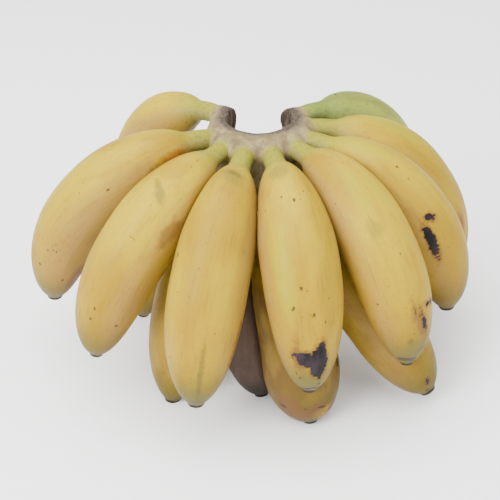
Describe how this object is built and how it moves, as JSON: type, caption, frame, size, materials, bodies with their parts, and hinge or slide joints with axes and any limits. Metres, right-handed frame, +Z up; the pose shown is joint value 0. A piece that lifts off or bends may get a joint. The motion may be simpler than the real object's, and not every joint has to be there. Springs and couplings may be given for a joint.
{
  "type": "hand of bananas",
  "caption": "Hand of short, plump yellow bananas in two rows on their crown, standing on its fruit tips as food, decoration or a still-life prop.",
  "frame": {"origin": "middle of the bounding box on the surface that the fruit tips stand on", "axes": "+Z up through the crown; +X to the viewer's right, along the widest spread; -Y towards the viewer, with the open, cut side of the crown at +Y"},
  "size_m": [0.245, 0.1923, 0.1374],
  "materials": {
    "ripe_peel": "satin, waxy yellow skin with small brown specks",
    "green_peel": "satin, still partly green",
    "dark_peel": "dull, over-ripe brown skin",
    "crown_rind": "dry fibrous rind with a grey-brown cut face"
  },
  "bodies": {
    "root": {"crown": "crown_rind", "upper_finger_1": "ripe_peel", "upper_finger_2": "ripe_peel", "upper_finger_3": "ripe_peel", "upper_finger_4": "ripe_peel", "upper_finger_5": "ripe_peel", "upper_finger_6": "ripe_peel", "upper_finger_7": "ripe_peel", "upper_finger_8": "ripe_peel", "upper_finger_9": "green_peel", "lower_finger_1": "ripe_peel", "lower_finger_2": "ripe_peel", "lower_finger_3": "ripe_peel", "lower_finger_4": "dark_peel", "lower_finger_5": "ripe_peel", "lower_finger_6": "ripe_peel", "lower_finger_7": "ripe_peel", "lower_finger_8": "ripe_peel"}
  },
  "joints": []
}
